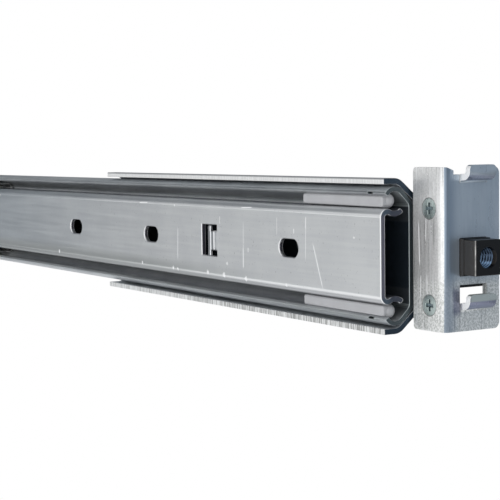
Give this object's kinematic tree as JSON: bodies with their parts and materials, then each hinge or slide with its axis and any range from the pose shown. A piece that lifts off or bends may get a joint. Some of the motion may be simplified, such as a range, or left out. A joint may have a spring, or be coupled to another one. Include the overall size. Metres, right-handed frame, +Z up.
{
  "type": "sliding server rail pair",
  "caption": "Pair of ball-bearing slides with hooked end brackets that hang in square-hole rack posts and let a server slide out to the front.",
  "frame": {"origin": "midway between the two rails, in the plane of the front flanges that lies against the rear face of the front posts, at the height of the rack unit's middle hole", "axes": "+X towards the rail with the right_ nodes, +Y from the front posts to the rear posts, +Z up. The server slides out towards -Y. The rest pose is closed"},
  "size_m": [0.482, 0.6716, 0.0422],
  "materials": {
    "flange_steel": "bright zinc plated, slightly speckled",
    "channel_steel": "bright zinc plated with sheared edges",
    "member_steel": "zinc plated, greased in the races",
    "slider_steel": "zinc plated with fine marks along the rail",
    "cage_steel": "bright",
    "ball_steel": "polished",
    "screw_steel": "blue zinc plated",
    "rivet_steel": "satin",
    "spring_steel": "satin",
    "insert_steel": "blue zinc plated",
    "button_plastic": "satin black",
    "guide_plastic": "satin white",
    "bumper_plastic": "satin black"
  },
  "bodies": {
    "fixed_rails": {"right_front_flange": "flange_steel", "right_front_flange_screws": "screw_steel", "right_front_clinch_nuts": "screw_steel", "right_front_channel": "channel_steel", "right_front_leaf_spring": "spring_steel", "right_front_leaf_rivets": "rivet_steel", "right_outer_member": "member_steel", "right_channel_rivets": "rivet_steel", "right_upper_guide": "guide_plastic", "right_lower_guide": "guide_plastic", "right_rear_bumper": "bumper_plastic", "right_clamp_nuts": "screw_steel", "right_clamp_washers": "screw_steel", "right_clamp_screws": "screw_steel", "left_front_flange": "flange_steel", "left_front_flange_screws": "screw_steel", "left_front_clinch_nuts": "screw_steel", "left_front_channel": "channel_steel", "left_front_leaf_spring": "spring_steel", "left_front_leaf_rivets": "rivet_steel", "left_outer_member": "member_steel", "left_channel_rivets": "rivet_steel", "left_upper_guide": "guide_plastic", "left_lower_guide": "guide_plastic", "left_rear_bumper": "bumper_plastic", "left_clamp_nuts": "screw_steel", "left_clamp_washers": "screw_steel", "left_clamp_screws": "screw_steel"},
    "right_slide": {"right_sliding_member": "slider_steel", "right_slider_stop": "bumper_plastic", "right_stop_rivets": "rivet_steel"},
    "right_cage": {"right_ball_cage": "cage_steel", "right_upper_balls": "ball_steel", "right_lower_balls": "ball_steel"},
    "right_rear_bracket": {"right_rear_flange": "flange_steel", "right_rear_flange_screws": "screw_steel", "right_rear_clinch_nuts": "screw_steel", "right_rear_channel": "channel_steel", "right_rear_leaf_spring": "spring_steel", "right_rear_leaf_rivets": "rivet_steel"},
    "right_front_button": {"right_front_lock_button": "button_plastic", "right_front_thread_insert": "insert_steel"},
    "right_rear_button": {"right_rear_lock_button": "button_plastic", "right_rear_thread_insert": "insert_steel"},
    "left_slide": {"left_sliding_member": "slider_steel", "left_slider_stop": "bumper_plastic", "left_stop_rivets": "rivet_steel"},
    "left_cage": {"left_ball_cage": "cage_steel", "left_upper_balls": "ball_steel", "left_lower_balls": "ball_steel"},
    "left_rear_bracket": {"left_rear_flange": "flange_steel", "left_rear_flange_screws": "screw_steel", "left_rear_clinch_nuts": "screw_steel", "left_rear_channel": "channel_steel", "left_rear_leaf_spring": "spring_steel", "left_rear_leaf_rivets": "rivet_steel"},
    "left_front_button": {"left_front_lock_button": "button_plastic", "left_front_thread_insert": "insert_steel"},
    "left_rear_button": {"left_rear_lock_button": "button_plastic", "left_rear_thread_insert": "insert_steel"}
  },
  "joints": [
    {"name": "right_slide_out", "type": "slide", "parent": "fixed_rails", "child": "right_slide", "axis": [0, -1, 0], "range_m": [0, 0.45]},
    {"name": "right_cage_roll", "type": "slide", "parent": "fixed_rails", "child": "right_cage", "axis": [0, -1, 0], "range_m": [0, 0.225]},
    {"name": "right_depth_adjust", "type": "slide", "parent": "fixed_rails", "child": "right_rear_bracket", "axis": [0, 1, 0], "range_m": [0, 0.127]},
    {"name": "right_front_button_press", "type": "slide", "parent": "fixed_rails", "child": "right_front_button", "axis": [0, 1, 0], "range_m": [0, 0.0056], "stiffness_N_per_m": 2500, "springref_m": -0.001, "deforming": ["right_front_leaf_spring"]},
    {"name": "right_rear_button_press", "type": "slide", "parent": "right_rear_bracket", "child": "right_rear_button", "axis": [0, -1, 0], "range_m": [0, 0.0056], "stiffness_N_per_m": 2500, "springref_m": -0.001, "deforming": ["right_rear_leaf_spring"]},
    {"name": "left_slide_out", "type": "slide", "parent": "fixed_rails", "child": "left_slide", "axis": [0, -1, 0], "range_m": [0, 0.45]},
    {"name": "left_cage_roll", "type": "slide", "parent": "fixed_rails", "child": "left_cage", "axis": [0, -1, 0], "range_m": [0, 0.225]},
    {"name": "left_depth_adjust", "type": "slide", "parent": "fixed_rails", "child": "left_rear_bracket", "axis": [0, 1, 0], "range_m": [0, 0.127]},
    {"name": "left_front_button_press", "type": "slide", "parent": "fixed_rails", "child": "left_front_button", "axis": [0, 1, 0], "range_m": [0, 0.0056], "stiffness_N_per_m": 2500, "springref_m": -0.001, "deforming": ["left_front_leaf_spring"]},
    {"name": "left_rear_button_press", "type": "slide", "parent": "left_rear_bracket", "child": "left_rear_button", "axis": [0, -1, 0], "range_m": [0, 0.0056], "stiffness_N_per_m": 2500, "springref_m": -0.001, "deforming": ["left_rear_leaf_spring"]}
  ],
  "couplings": [
    {"joint": "right_cage_roll", "follows": "right_slide_out", "ratio": 0.5},
    {"joint": "left_cage_roll", "follows": "left_slide_out", "ratio": 0.5}
  ]
}
